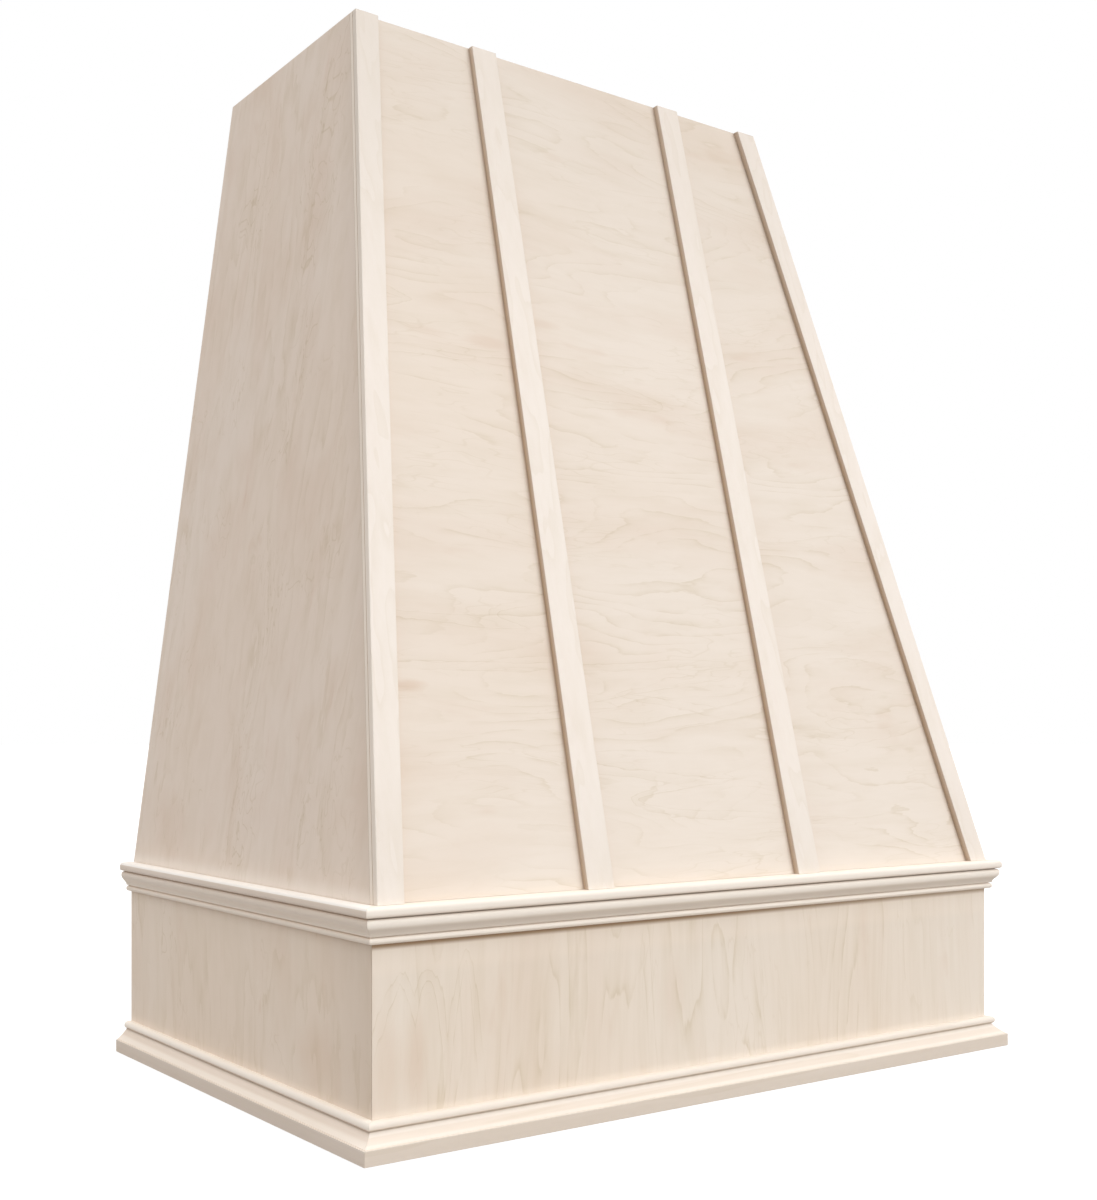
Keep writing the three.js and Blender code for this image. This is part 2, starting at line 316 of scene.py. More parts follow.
# arches where the blade met the heart of the tree: each has a tip, the way it opens, a middle line,
# its length, its half width and how pointed it is, and is a soft line with a fainter one inside it
def archFigure(finish, along, across, wobble, look):
    nearest, shown = None, None
    for tip, opens, middle, length, half, point in look["arches"]:
        inward = (along - tip) * (opens / length)
        sideways = ((across - middle) / half).size()
        # away is about how far outside the arch's outline a point lies
        steep = ((sideways ** (2.0 * point - 2.0)) * (point / half) ** 2 + 1.0 / length ** 2) ** 0.5
        away = (sideways ** point - inward) / steep
        window = (finish.ease(inward, archShape["lengthFrom"], archShape["lengthTo"], 1.0, 0.0)
                  * finish.ease(sideways, archShape["widthFrom"], archShape["widthTo"], 1.0, 0.0))
        nearest = away if nearest is None else nearest.atMost(away)
        shown = window if shown is None else shown.atLeast(window)
    # how deep inside the nearest outline it lies, counted in lines
    inside = ((wobble - 0.5) * archShape["wobble"] - nearest) / archShape["step"]
    phase = inside.atLeast(0.0).fract()
    line = finish.ease(phase, 0.0, archShape["lineWidth"], archShape["lineTone"], 0.0)
    line = line + (1.0 - phase) * archShape["tailTone"]
    line = line * finish.ease(inside, 0.0, archShape["rimWidth"])
    line = line * finish.ease(inside, archShape["fadeFrom"], archShape["fadeTo"], 1.0, 0.0)
    return line * shown * look["archTone"]


blotShape = {"ragged": 1.6, "fadeFrom": 0.2, "fadeTo": 1.2}


# tan blots: middle along and across the grain, half length, half width and strength
def blots(finish, along, across, streak, look):
    total = 0.0
    for middleAlong, middleAcross, length, width, strength in look["blots"]:
        spread = (((along - middleAlong) / length) ** 2.0 + ((across - middleAcross) / width) ** 2.0) ** 0.5
        spread = spread + (streak - 0.5) * blotShape["ragged"]
        total = total + finish.ease(spread, blotShape["fadeFrom"], blotShape["fadeTo"], strength, 0.0)
    return total


grainShape = {"tickHalf": 0.03, "flockFrom": 0.50, "flockTo": 0.66, "smudgeFrom": 0.62, "smudgeTo": 0.80}


# clouds, hair fibres, soft wisps along the grain, patches of thin curly ticks and a few brown smudges
def grain(finish, along, across, depth, look):
    names = ("cloud", "fibre", "streak", "tick", "flock", "smudge")
    cloud, fibre, streak, tick, flock, smudge = [
        layer(finish, name, along, across, depth, look) for name in names]
    tick = finish.ease((tick - 0.5).size(), 0.0, grainShape["tickHalf"], 1.0, 0.0)
    tick = tick * finish.ease(flock, grainShape["flockFrom"], grainShape["flockTo"])
    smudge = finish.ease(smudge, grainShape["smudgeFrom"], grainShape["smudgeTo"])
    return cloud, fibre, streak, tick, smudge


# broad clouds are tan, fine lines are browner
def woodTone(finish, grains, lines, blotted, pale, look):
    cloud, fibre, streak, tick, smudge = grains
    broad = (cloud - 0.5) * look["cloudTone"] + smudge * look["smudgeTone"] + blotted + look["baseTone"]
    fine = (fibre - 0.5) * look["fibreTone"] + (streak - 0.5) * look["streakTone"] + tick * look["tickTone"]
    ground = finish.blend(broad, pale, look["tan"])
    return finish.blend(fine + lines + look["fineBase"], ground, look["deep"])


# fibres and clouds vary the roughness, fibres and wisps stand up a little
def planed(finish, colour, grains, look):
    cloud, fibre, streak = grains[:3]
    roughness = look["roughness"] + look["fibreRough"] * fibre + look["cloudRough"] * cloud
    height = fibre * look["fibreHeight"] + streak * look["streakHeight"]
    return finish.wood(colour, roughness, height, look["bumpDepth"])


# faces says which way the veneer faces, and grainRuns which way its grain runs on the front
def mapleVeneer(name, faces, grainRuns, look):
    finish = Finish(name)
    x, y, z = finish.place()
    normals = finish.facing()
    if faces == "front":
        along, across = (x, z) if grainRuns == "across" else (z, x)
        edge = normals[0].size().atLeast(normals[2].size())
        through = y * look["slopeCos"] + z * look["slopeSin"] - look["surfaceAt"]
    else:
        along, across = z, y + z * look["lean"]
        edge = normals[1].size().atLeast(normals[2].size())
        through = look["surfaceAt"] - x.size() * look["slopeCos"] - z * look["slopeSin"]
    edge = finish.ease(edge, look["edgeFrom"], look["edgeTo"])
    rings, bent = ringFigure(finish, along, across, look)
    grains = grain(finish, along, bent, 0.0, look)
    streak = grains[2]
    tint = layer(finish, "tint", along, across, 0.0, look)
    pale = finish.blend(finish.ease(tint, look["tintFrom"], look["tintTo"]), look["pale"], look["warm"])
    colour = woodTone(finish, grains, rings, blots(finish, along, across, streak, look), pale, look)
    # painted shade beside the straps, towards a side's front corner and under the ledge, and painted light
    # and shade in bands by height
    if look["straps"]:
        colour = paintedStrapShade(finish, colour, x, z, look["straps"])
    if look["corner"]:
        colour = cornerShade(finish, colour, y, z, look["corner"])
    colour = heightBands(finish, colour, z, look["bands"])
    if look["contact"]:
        colour = paintedLedgeShadow(finish, colour, x, z, look["contact"])
    # plies show on the cut edges
    ply = ((through / look["plyThickness"]).fract() - 0.5).size()
    ply = finish.ease(ply, look["plyFrom"], look["plyTo"]) * look["plyTone"]
    plyColour = finish.blend(ply + streak * look["plyStreak"], look["plyPale"], look["plyDark"])
    return planed(finish, finish.blend(edge, colour, plyColour), grains, look)


# painted shade: the panel is browner right beside each strap, most on the left
def paintedStrapShade(finish, colour, x, z, straps):
    amount = 0.0
    for footX, lean, half in straps["lines"]:
        offset = x - (z - straps["footZ"]) * lean - footX
        beside = offset.size() - half
        near = finish.ease(beside, 0.0, straps["reach"], straps["soft"], 0.0)
        close = finish.ease(beside, 0.0, straps["closeReach"], straps["dark"], 0.0)
        amount = amount + (near + close) * finish.ease(offset, -half, half, 1.0, straps["rightPart"])
    return finish.blend(amount.atMost(1.0), colour, straps["colour"])


# a painted shadow in the corner under the ledge, fainter towards the right
def paintedLedgeShadow(finish, colour, x, z, contact):
    rise = finish.ease(z, contact["height"] - contact["fade"], contact["height"])
    fade = finish.ease(x, contact["leftX"], contact["rightX"], contact["most"], contact["least"])
    return finish.blend(rise * fade, colour, contact["colour"])


# painted shade: a side is a little browner towards its front corner
def cornerShade(finish, colour, y, z, corner):
    behind = y * corner["slopeCos"] + z * corner["slopeSin"] - corner["surfaceAt"]
    return finish.blend(finish.ease(behind, 0.0, corner["reach"], corner["amount"], 0.0), colour, stain)


# bands of painted light and shade: from height, to height, fade, strength and tint, with painted shade in
# the corners of a profile and painted highlights on its crests
def heightBands(finish, colour, z, bands):
    for low, high, fade, amount, tint in bands:
        rise = finish.ease(z, low - fade, low, 0.0, amount)
        fall = finish.ease(z, high, high + fade, 1.0, 0.0)
        colour = finish.blend(rise * fall, colour, tint)
    return colour


endGrain = {"facingFrom": 0.80, "facingTo": 0.93, "poreScale": 900.0, "poreTone": 0.5, "ringStart": 5.0,
            "ringScale": 60.0, "ringDepthScale": 260.0, "ringDetail": 1.0, "ringTone": 0.4}


# solid wood with its grain along one axis
def sawnWood(name, axis, look):
    finish = Finish(name)
    x, y, z = finish.place()
    normals = finish.facing()
    order = {"x": (0, 1, 2), "y": (1, 0, 2), "z": (2, 0, 1)}[axis]
    along, across, depth = [(x, y, z)[k] for k in order]
    ends = finish.ease(normals[order[0]].size(), endGrain["facingFrom"], endGrain["facingTo"])
    seed = look["seed"]
    hills = finish.noise(along * look["alongScale"], across * look["acrossScale"] + seed,
                         depth * look["acrossScale"], roughness=look["hillRough"])
    phase = (hills * look["rings"]).fract()
    rings = (phase ** look["sharpness"]) * finish.ease(phase, look["ringEnd"], 1.0, 1.0, 0.0)
    grains = grain(finish, along, across, depth, look)
    colour = woodTone(finish, grains, rings * look["ringTone"], 0.0, look["pale"], look)
    # end grain is darker and finely speckled
    pores = finish.noise(across * endGrain["poreScale"], depth * endGrain["poreScale"], seed)
    yearRings = finish.noise(across * endGrain["ringScale"], depth * endGrain["ringDepthScale"],
                             seed + endGrain["ringStart"], endGrain["ringDetail"])
    speckle = pores * endGrain["poreTone"] + yearRings * endGrain["ringTone"]
    colour = finish.blend(ends, colour, finish.blend(speckle, look["endPale"], look["endDark"]))
    # painted shade on strap edges, and painted light and shade in bands by height
    if look["edges"]:
        colour = paintedRimShade(finish, colour, normals[0], y, z, look["edges"])
    return planed(finish, heightBands(finish, colour, z, look["bands"]), grains, look)


# painted shade on a strap's edge: browner than its planed face, darkest where it meets the panel
def paintedRimShade(finish, colour, normalX, y, z, edges):
    side = finish.ease(normalX.size(), edges["sideFrom"], edges["sideTo"])
    lift = edges["surfaceAt"] - y * edges["slopeCos"] - z * edges["slopeSin"]
    depth = finish.ease(lift, 0.0, edges["thickness"], 1.0, edges["atFace"])
    return finish.blend(side * depth * edges["amount"], colour, edges["colour"])


levelWithin = 0.0001


# the low and the high corner of the rectangle at a node's foot or head
def spanAt(node, high):
    points = [v.co for v in nodes[node].data.vertices]
    level = (max if high else min)(p.z for p in points)
    ring = [p for p in points if abs(p.z - level) < levelWithin]
    low = Vector((min(p.x for p in ring), min(p.y for p in ring), level))
    return low, Vector((max(p.x for p in ring), max(p.y for p in ring), level))


panelFoot, panelHead = spanAt("front_panel", False), spanAt("front_panel", True)
panelRise = panelHead[0].z - panelFoot[0].z
faceSlope = math.atan2(panelHead[0].y - panelFoot[0].y, panelRise)
sideSlope = math.atan2(panelFoot[1].x - panelHead[1].x, panelRise)
apronLow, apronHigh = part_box("front_apron")
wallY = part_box("left_apron")[1].y

# planes of the front, the sides and the apron, so that a finish knows how deep below a face it is
facePlane = {"slopeCos": math.cos(faceSlope), "slopeSin": -math.sin(faceSlope)}
facePlane["surfaceAt"] = panelFoot[0].y * facePlane["slopeCos"] + panelFoot[0].z * facePlane["slopeSin"]
sidePlane = {"slopeCos": math.cos(sideSlope), "slopeSin": math.sin(sideSlope)}
sidePlane["surfaceAt"] = panelFoot[1].x * sidePlane["slopeCos"] + panelFoot[1].z * sidePlane["slopeSin"]
uprightFront = {"slopeCos": 1.0, "slopeSin": 0.0, "surfaceAt": apronLow.y}
uprightSide = {"slopeCos": 1.0, "slopeSin": 0.0, "surfaceAt": apronHigh.x}

strapNames = ["left_corner_strap", "left_centre_strap", "right_centre_strap", "right_corner_strap"]
strapLines = []  # each strap's middle at its foot, its lean and its half width
for strap in strapNames:
    foot, head = spanAt(strap, False), spanAt(strap, True)
    footX, headX = (foot[0].x + foot[1].x) / 2, (head[0].x + head[1].x) / 2
    strapLines.append((footX, (headX - footX) / (head[0].z - foot[0].z), (foot[1].x - foot[0].x) / 2))

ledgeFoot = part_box("front_ledge_moulding")[0].z
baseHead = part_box("front_base_moulding")[1].z

# tints of painted light and shade: brown for painted shade, pale and warm for painted highlights and glow,
# dimmed for painted shade on the boards
stain = rgb(0.30, 0.205, 0.135)
paleHighlight = rgb(0.93, 0.87, 0.80)
warmHighlight = rgb(0.99, 0.90, 0.80)
dimmed = rgb(0.600, 0.530, 0.455)

# each band: from height, to height, fade, strength and tint; one that goes up to overTop has no upper end
overTop = 2.0
hoodTop = 1.22
# painted shade: the boards are darker towards the head and a little towards the foot
dimHead = (hoodTop, overTop, 0.45, 0.26, dimmed)
dimFoot = (0.0, 0.26, 0.16, 0.12, dimmed)
# the panels and sides are painted paler just above the ledge, a painted glow
panelBands = [dimHead, (0.0, panelFoot[0].z, 0.016, 0.10, paleHighlight)]
strapBands = [dimHead, dimFoot]
cornerStrapBands = [(hoodTop, overTop, 0.45, 0.36, dimmed), dimFoot]
sideBands = [(0.0, panelFoot[0].z, 0.018, 0.46, paleHighlight)]
# the front apron: a painted warm shade below the ledge and a painted glow above the base bead
apronBands = [(ledgeFoot - 0.022, overTop, 0.014, 0.19, rgb(1.0, 0.85, 0.71)),
              (0.0, baseHead, 0.009, 0.22, paleHighlight)]
# a painted shadow line on the apron right under the ledge
underLedgeShadow = {"height": ledgeFoot - 0.0018, "fade": 0.0054, "leftX": -0.12, "rightX": 0.42,
                "most": 0.96, "least": 0.66, "colour": rgb(0.34, 0.215, 0.12)}
# the side aprons: a painted shadow right under the ledge and a painted glow above the base bead
sideApronBands = [(ledgeFoot, overTop, 0.0028, 0.18, stain), (0.0, baseHead, 0.009, 0.16, paleHighlight)]


# the pale ground of a wood, with the warmer, tan and deep brown tones that go with it
def tones(red, green, blue):
    return {"pale": rgb(red, green, blue),
            "warm": rgb(red * 0.988, green * 0.971, blue * 0.953),
            "tan": rgb(red * 0.75, green * 0.57, blue * 0.44),
            "deep": rgb(red * 0.65, green * 0.57, blue * 0.38)}


# Along and Across count a layer's features per metre, Tone says how much tan or brown it mixes in
planedWood = {"fibreAlong": 24.0, "fibreAcross": 1150.0, "fibreHeight": 0.6, "streakHeight": 0.4,
              "bumpDepth": 0.0001, "baseTone": 0.01, "fineBase": 0.02, "bands": []}
maple = dict(planedWood, roughness=0.50, fibreRough=0.10, cloudRough=0.06, hillRough=0.42,
             plyPale=rgb(0.77, 0.68, 0.58), plyDark=rgb(0.50, 0.38, 0.27), plyThickness=0.0021,
             plyFrom=0.20, plyTo=0.30, plyTone=0.8, plyStreak=0.15, edgeFrom=0.6, edgeTo=0.8,
             tintAlong=2.3, tintAcross=4.1, tintFrom=0.35, tintTo=0.65, driftAlong=1.4, driftAcross=2.4,
             wobbleAlong=14.0, dashAlong=18.0, straps=None, corner=None, contact=None, arches=[],
             archTone=0.30)
# painted shade beside the straps
strapShadeLook = {"lines": strapLines, "footZ": panelFoot[0].z, "reach": 0.0055, "closeReach": 0.0022, "soft": 0.18,
        "dark": 0.32, "rightPart": 0.05, "colour": rgb(0.50, 0.345, 0.215)}
# each arch: tip, the way it opens, middle line, length, half width, how pointed; each blot: middle along
# and across the grain, half length, half width, strength
frontArches = [(-0.262, 1, 0.533, 0.080, 0.027, 1.9), (-0.105, 1, 0.450, 0.110, 0.022, 1.3),
               (-0.115, 1, 0.332, 0.150, 0.027, 2.2), (-0.250, 1, 0.380, 0.060, 0.013, 1.5),
               (0.335, -1, 0.500, 0.110, 0.013, 2.1), (-0.300, -1, 0.868, 0.050, 0.018, 1.4),
               (0.050, -1, 0.800, 0.100, 0.019, 1.8)]
frontBlots = [(-0.378, 0.444, 0.026, 0.007, 0.36), (-0.203, 0.836, 0.032, 0.009, 0.22),
              (-0.118, 0.872, 0.028, 0.007, 0.18), (-0.295, 0.838, 0.034, 0.007, 0.16),
              (0.260, 1.100, 0.110, 0.240, 0.11)]
frontLook = dict(maple, seed=4.2, drift=0.10, alongScale=2.3, acrossScale=9.5, rings=17.0,
                 sharpness=10.0, wobbleAcross=90.0, wobble=0.8, patchAlong=4.0, patchAcross=12.0,
                 faintest=0.12, dashAcross=80.0, bend=0.05, lineTone=0.42, slopeTone=0.08,
                 cloudAlong=3.4, cloudAcross=12.0, cloudTone=0.74, fibreTone=0.015, streakAlong=8.0,
                 streakAcross=58.0, streakTone=0.33, tickAlong=16.0, tickAcross=110.0, tickTone=0.13,
                 flockAlong=6.0, flockAcross=15.0, smudgeAlong=7.0, smudgeAcross=24.0, smudgeTone=0.18,
                 straps=strapShadeLook, plyTone=0.14, plyPale=rgb(0.95, 0.84, 0.735), bands=panelBands,
                 arches=frontArches, blots=frontBlots, **tones(0.821, 0.729, 0.641), **facePlane)
apronArches = [(0.172, -1, -0.428, 0.055, 0.028, 1.5), (0.171, -1, -0.396, 0.050, 0.021, 2.6),
               (0.186, -1, -0.352, 0.110, 0.026, 1.8)]
apronBlots = [(0.090, -0.407, 0.055, 0.016, 0.22), (0.085, -0.442, 0.045, 0.016, 0.16),
              (0.122, -0.077, 0.045, 0.030, 0.13)]
apronLook = dict(frontLook, seed=17.6, alongScale=1.9, acrossScale=12.0, rings=12.0, wobbleAlong=6.0,
                 wobbleAcross=60.0, wobble=0.5, lineTone=0.50, streakAlong=5.0, streakAcross=90.0,
                 streakTone=0.44, straps=None, plyTone=0.8, bands=apronBands, arches=apronArches,
                 blots=apronBlots, contact=underLedgeShadow, archTone=0.34, **tones(0.865, 0.765, 0.660))
apronLook.update(uprightFront)
sideBlots = [(0.285, 0.215, 0.045, 0.110, 0.14), (0.370, -0.235, 0.060, 0.040, 0.13)]
sideApronBlots = [(0.072, -0.180, 0.045, 0.055, 0.19), (0.205, -0.180, 0.018, 0.050, 0.10)]
sideLook = dict(maple, seed=31.9, drift=0.05, alongScale=3.2, acrossScale=15.0, rings=7.0, sharpness=4.0,
                wobbleAcross=60.0, wobble=1.4, patchAlong=5.0, patchAcross=9.0, faintest=0.1,
                dashAcross=60.0, bend=0.10, lineTone=0.20, slopeTone=0.10, cloudAlong=7.0,
                cloudAcross=12.0, cloudTone=0.84, fibreTone=0.02, streakAlong=14.0, streakAcross=50.0,
                streakTone=0.44, tickAlong=34.0, tickAcross=95.0, tickTone=0.30, flockAlong=8.0,
                flockAcross=12.0, smudgeAlong=14.0, smudgeAcross=40.0, smudgeTone=0.22, lean=0.03,
                bands=sideBands, blots=sideBlots, corner=dict(facePlane, reach=0.050, amount=0.09),
                **tones(0.844, 0.721, 0.622), **sidePlane)
sideApronLook = dict(sideLook, seed=52.3, lean=0.0, cloudTone=0.72, streakTone=0.36, streakAlong=7.0,
                     cloudAlong=5.0, bands=sideApronBands, blots=sideApronBlots,
                     **tones(0.920, 0.783, 0.658))
sideApronLook.update(uprightSide, corner=dict(uprightFront, reach=0.110, amount=0.15))

sawn = dict(planedWood, roughness=0.48, fibreRough=0.12, cloudRough=0.05, hillRough=0.45,
            endPale=rgb(0.72, 0.61, 0.50), endDark=rgb(0.46, 0.35, 0.25), alongScale=1.6,
            acrossScale=26.0, rings=5.0, sharpness=3.0, ringEnd=0.95, ringTone=0.12, cloudAlong=3.4,
            cloudAcross=8.0, cloudTone=0.14, fibreTone=0.03, streakAlong=5.0, streakAcross=160.0,
            streakTone=0.16, tickAlong=30.0, tickAcross=200.0, tickTone=0.06, flockAlong=5.0,
            flockAcross=30.0, smudgeAlong=6.0, smudgeAcross=40.0, smudgeTone=0.08, edges=None)
mouldingWood = dict(sawn, streakTone=0.22, **tones(0.868, 0.767, 0.667))
sideMouldingWood = dict(mouldingWood, streakTone=0.28, **tones(0.882, 0.759, 0.656))
# painted shade on the straps' edges
strapRimShade = dict(facePlane, sideFrom=0.75, sideTo=0.9, thickness=0.0081, atFace=0.62, amount=0.9,
                  colour=rgb(0.450, 0.298, 0.178))
strapWood = dict(sawn, bands=strapBands, edges=strapRimShade, **tones(0.884, 0.802, 0.728))
# the left corner strap's edge has less painted shade than the others, and its head more painted shade
cornerRimShade = dict(strapRimShade, amount=0.6, atFace=1.0, colour=rgb(0.86, 0.74, 0.63))
cornerStrapWood = dict(strapWood, bands=cornerStrapBands, edges=cornerRimShade)
poplar = dict(sawn, pale=rgb(0.72, 0.62, 0.46), tan=rgb(0.54, 0.42, 0.26), deep=rgb(0.46, 0.40, 0.25),
              endPale=rgb(0.58, 0.48, 0.33), endDark=rgb(0.36, 0.28, 0.18), ringTone=0.35, cloudTone=0.3,
              rings=7.0)

boards = {"panelArris": 0.0003, "strapArris": 0.0010, "arrisSteps": 3, "longRise": 0.05, "strapSeed": 60.0,
          "strapSeedStep": 3.7}
sideSeeds = {"left": 0.0, "right": 6.0}  # added, so that the two sides differ in grain


# only the long edges are eased, so that each foot stands tight on the ledge
def easeLongEdges(piece, arris):
    weights = piece.data.attributes.new("bevel_weight_edge", "FLOAT", "EDGE")
    for edge in piece.data.edges:
        first, second = [piece.data.vertices[k].co for k in edge.vertices]
        weights.data[edge.index].value = 1.0 if abs(first.z - second.z) > boards["longRise"] else 0.0
    bevel = piece.modifiers.new("arris", "BEVEL")
    bevel.width = arris
    bevel.segments = boards["arrisSteps"]
    bevel.limit_method = "WEIGHT"


# a board of the tapered body, from the frame's own foot and head
def addBoard(node, material, arris):
    foot, head = spanAt(node, False), spanAt(node, True)
    piece = shapePiece(node + "_maple", slopingBoard, {
        "Foot From": foot[0], "Foot To": foot[1], "Head From": head[0], "Head To": head[1],
        "Wood": material})
    easeLongEdges(piece, arris)
    standFor(piece, node)


frontVeneer = mapleVeneer("front veneer", "front", "across", frontLook)
addBoard("front_panel", frontVeneer, boards["panelArris"])
for side, seedStep in sideSeeds.items():
    look = dict(sideLook, seed=sideLook["seed"] + seedStep)
    sideVeneer = mapleVeneer(side + " side veneer", "side", "up", look)
    addBoard(side + "_side_panel", sideVeneer, boards["panelArris"])
print("body panels shaped")

for index, strap in enumerate(strapNames):
    strapLook = cornerStrapWood if strap == "left_corner_strap" else strapWood
    look = dict(strapLook, seed=boards["strapSeed"] + boards["strapSeedStep"] * index)
    strapMaple = sawnWood(strap.replace("_", " ") + " maple", "z", look)
    addBoard(strap, strapMaple, boards["strapArris"])
print("straps shaped")

keptBoards = {"apronArris": 0.0003, "innerArris": 0.001, "arrisSteps": 2, "weld": 0.00002,
              "sharp": math.radians(25), "seed": 150.0, "seedStep": 4.1}


# the apron and the inner frame keep the frame's own solids
def dress(node, material, arris):
    piece = nodes[node]
    piece.data.materials.clear()
    piece.data.materials.append(material)
    weld = piece.modifiers.new("weld", "WELD")
    weld.merge_threshold = keptBoards["weld"]
    bevel = piece.modifiers.new("arris", "BEVEL")
    bevel.width = arris
    bevel.segments = keptBoards["arrisSteps"]
    bevel.limit_method = "ANGLE"
    bevel.angle_limit = keptBoards["sharp"]


apronVeneer = mapleVeneer("front apron veneer", "front", "up", apronLook)
dress("front_apron", apronVeneer, keptBoards["apronArris"])
for side, seedStep in sideSeeds.items():
    look = dict(sideApronLook, seed=sideApronLook["seed"] + seedStep)
    sideVeneer = mapleVeneer(side + " apron veneer", "side", "up", look)
    dress(side + "_apron", sideVeneer, keptBoards["apronArris"])
print("apron dressed")

# the inner boards, by the axis that their grain follows; the ledge frame is as pale as the mouldings
innerFrame = {
    "x": ["ledge_frame_front_rail", "ledge_frame_back_rail", "liner_frame_front_rail",
          "liner_frame_back_rail", "lower_back_rail", "hanging_rail", "top_front_rail"],
    "y": ["ledge_frame_left_rail", "ledge_frame_right_rail", "liner_frame_left_rail",
          "liner_frame_right_rail", "top_left_rail", "top_right_rail"],
    "z": ["left_apron_post", "right_apron_post", "left_corner_post", "right_corner_post",
          "left_back_stile", "right_back_stile", "left_strap_rib", "right_strap_rib"]}
for axis, group in innerFrame.items():
    for index, node in enumerate(group):
        plain = mouldingWood if node.startswith("ledge_frame") else poplar
        look = dict(plain, seed=keptBoards["seed"] + keptBoards["seedStep"] * index)
        inner = sawnWood(node.replace("_", " ") + " poplar", axis, look)
        dress(node, inner, keptBoards["innerArris"])
print("inner frame dressed")

ledge = {"height": 0.036, "reach": 0.015, "nose": 0.0102, "noseOver": 0.0054, "noseUnder": 0.0030,
         "shoulder": 0.0042, "bead": 0.0066, "quirk": 0.001, "waistShare": 0.42, "swellShare": 0.87,
         "hollowShare": 0.28, "swellFoot": 0.40, "arcSteps": 14, "shoulderSteps": 10, "underSteps": 8,
         "seed": 80.0}
base = {"height": 0.0363, "reach": 0.020, "fascia": 0.0148, "step": 0.0009, "lip": 0.0017, "hollow": 0.0012,
        "bead": 0.009, "waistShare": 0.3, "arcSteps": 14, "seed": 101.0}


# a half round that stands out from the apron
def halfRound(centre, radius, steps):
    turns = [math.radians(-90 + 180 * step / steps) for step in range(steps + 1)]
    return [(centre[0] + radius * math.cos(turn), centre[1] + radius * math.sin(turn)) for turn in turns]


# a curve from start to end that leaves towards first and arrives from second
def bend(start, first, second, end, steps):
    points = []
    for step in range(steps + 1):
        t = step / steps
        u = 1 - t
        points.append(tuple(u * u * u * start[k] + 3 * u * u * t * first[k] + 3 * u * t * t * second[k]
                            + t * t * t * end[k] for k in (0, 1)))
    return points


# the same, drawn towards a single point
def softBend(start, pull, end, steps):
    first = tuple((start[k] + 2 * pull[k]) / 3 for k in (0, 1))
    second = tuple((end[k] + 2 * pull[k]) / 3 for k in (0, 1))
    return bend(start, first, second, end, steps)


# (reach, height) from the apron's face: bead, quirk, ogee, shoulder, quirk and eased nose
def ledgeOutline():
    beadRadius = ledge["bead"] / 2
    waist = ledge["reach"] * ledge["waistShare"]
    swell = ledge["reach"] * ledge["swellShare"]
    quirk = ledge["quirk"]
    shoulder = ledge["shoulder"]
    ogeeFoot = ledge["bead"] + quirk
    ogeeHead = ledge["height"] - ledge["nose"] - quirk
    hollowAt = ogeeFoot + (ogeeHead - ogeeFoot) * ledge["hollowShare"]
    swellAt = ogeeFoot + (ogeeHead - ogeeFoot) * ledge["swellFoot"]
    noseFoot = ledge["height"] - ledge["nose"]
    under, over = ledge["noseUnder"], ledge["noseOver"]
    reach, height = ledge["reach"], ledge["height"]
    points = [(0, 0)] + halfRound((beadRadius, beadRadius), beadRadius, ledge["arcSteps"])
    points += [(beadRadius, ogeeFoot)]
    points += bend((waist, ogeeFoot), (waist, hollowAt), (swell, swellAt), (swell, ogeeHead - shoulder),
                   ledge["arcSteps"])
    points += softBend((swell, ogeeHead - shoulder), (swell, ogeeHead), (swell - shoulder, ogeeHead),
                       ledge["shoulderSteps"])[1:]
    points += [(swell - shoulder, noseFoot)]
    points += softBend((reach - under, noseFoot), (reach, noseFoot), (reach, noseFoot + under),
                       ledge["underSteps"])
    points += softBend((reach, height - over), (reach, height), (reach - over, height), ledge["arcSteps"])
    return points + [(0, height)]


# (reach, height) from the apron's face: fascia, small step, hollowed slope and bead
def baseOutline():
    beadRadius = base["bead"] / 2
    beadFoot = base["height"] - base["bead"]
    waist = base["reach"] * base["waistShare"]
    slopeReach = base["reach"] - base["lip"]
    slopeFoot = base["fascia"] + base["step"]
    pull = ((slopeReach + waist) / 2 - base["hollow"], (slopeFoot + beadFoot) / 2 - base["hollow"])
    points = [(0, 0), (base["reach"], 0), (base["reach"], base["fascia"]), (slopeReach, base["fascia"])]
    points += softBend((slopeReach, slopeFoot), pull, (waist, beadFoot), base["arcSteps"])
    points += halfRound((beadRadius, base["height"] - beadRadius), beadRadius, base["arcSteps"])
    return points + [(0, base["height"])]


